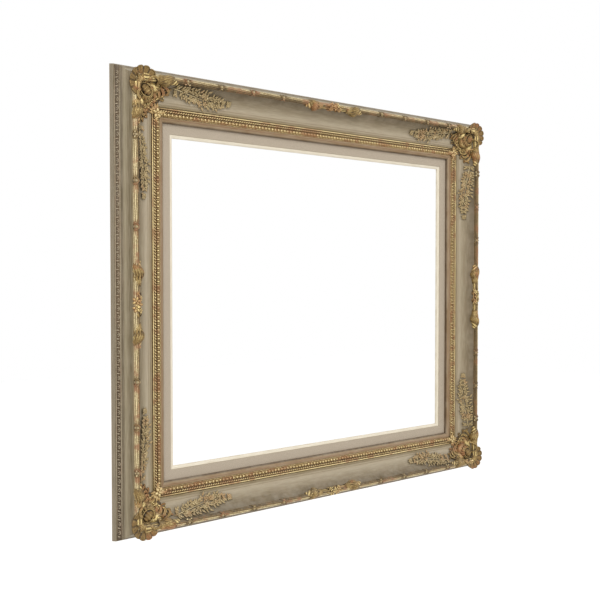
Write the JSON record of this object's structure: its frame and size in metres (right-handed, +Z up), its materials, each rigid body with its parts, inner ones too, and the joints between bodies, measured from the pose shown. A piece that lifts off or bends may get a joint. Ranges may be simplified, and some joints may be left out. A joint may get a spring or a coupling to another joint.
{
  "type": "ornate picture frame",
  "caption": "Landscape swept picture frame, gilded, with cast corner and centre ornaments, flower sprays, a linen liner, turn buttons and strap hangers.",
  "frame": {"origin": "middle of the wall plane, where the four bumpers touch the wall, behind the centre of the opening", "axes": "+X along the frame's long side, to the right as seen from the front; +Z up as it hangs; the front faces -Y and the wall is on +Y"},
  "size_m": [0.787, 0.0545, 0.687],
  "materials": {
    "gilded_moulding": "gilded, brushed and toned olive over red bole",
    "gilded_ornament": "cast composition, gold leaf rubbed through to red bole",
    "linen": "plain woven linen glued over wood",
    "slip_gesso": "cream painted gesso, satin",
    "zinc_steel": "zinc plated",
    "bumper_rubber": "soft, translucent"
  },
  "bodies": {
    "frame": {"bead_strip_bottom": "gilded_ornament", "bead_strip_left": "gilded_ornament", "bead_strip_right": "gilded_ornament", "bead_strip_top": "gilded_ornament", "bottom_rail": "gilded_moulding", "centre_ornament_bottom": "gilded_ornament", "centre_ornament_left": "gilded_ornament", "centre_ornament_right": "gilded_ornament", "centre_ornament_top": "gilded_ornament", "corner_ornament_bottom_left": "gilded_ornament", "corner_ornament_bottom_right": "gilded_ornament", "corner_ornament_top_left": "gilded_ornament", "corner_ornament_top_right": "gilded_ornament", "corner_wedges": "zinc_steel", "hanger_screws": "zinc_steel", "hanger_strap_left": "zinc_steel", "hanger_strap_right": "zinc_steel", "left_stile": "gilded_moulding", "liner_bottom": "linen", "liner_brads": "zinc_steel", "liner_left": "linen", "liner_right": "linen", "liner_top": "linen", "right_stile": "gilded_moulding", "side_relief_bottom": "gilded_ornament", "side_relief_left": "gilded_ornament", "side_relief_right": "gilded_ornament", "side_relief_top": "gilded_ornament", "slip_bottom": "slip_gesso", "slip_left": "slip_gesso", "slip_right": "slip_gesso", "slip_top": "slip_gesso", "spray_rail_bottom_left": "gilded_ornament", "spray_rail_bottom_right": "gilded_ornament", "spray_rail_top_left": "gilded_ornament", "spray_rail_top_right": "gilded_ornament", "spray_stile_bottom_left": "gilded_ornament", "spray_stile_bottom_right": "gilded_ornament", "spray_stile_top_left": "gilded_ornament", "spray_stile_top_right": "gilded_ornament", "top_rail": "gilded_moulding", "turn_button_screws": "zinc_steel", "wall_bumpers": "bumper_rubber"},
    "hanger_ring_left": {"hanger_ring_left": "zinc_steel"},
    "hanger_ring_right": {"hanger_ring_right": "zinc_steel"},
    "turn_button_bottom": {"turn_button_bottom": "zinc_steel"},
    "turn_button_left": {"turn_button_left": "zinc_steel"},
    "turn_button_right": {"turn_button_right": "zinc_steel"},
    "turn_button_top": {"turn_button_top": "zinc_steel"}
  },
  "joints": [
    {"name": "ring_left_swing", "type": "hinge", "parent": "frame", "child": "hanger_ring_left", "pos_m": [-0.3455, -0.0028, 0.1785], "axis": [0, 0, 1], "range_deg": [0, 150]},
    {"name": "ring_right_swing", "type": "hinge", "parent": "frame", "child": "hanger_ring_right", "pos_m": [0.3455, -0.0028, 0.1785], "axis": [0, 0, -1], "range_deg": [0, 150]},
    {"name": "button_top_turn", "type": "hinge", "parent": "frame", "child": "turn_button_top", "pos_m": [-0.09, -0.005, 0.2815], "axis": [0, 1, 0], "continuous": true},
    {"name": "button_bottom_turn", "type": "hinge", "parent": "frame", "child": "turn_button_bottom", "pos_m": [0.09, -0.005, -0.2815], "axis": [0, 1, 0], "continuous": true},
    {"name": "button_left_turn", "type": "hinge", "parent": "frame", "child": "turn_button_left", "pos_m": [-0.3315, -0.005, -0.06], "axis": [0, 1, 0], "continuous": true},
    {"name": "button_right_turn", "type": "hinge", "parent": "frame", "child": "turn_button_right", "pos_m": [0.3315, -0.005, -0.06], "axis": [0, 1, 0], "continuous": true}
  ]
}
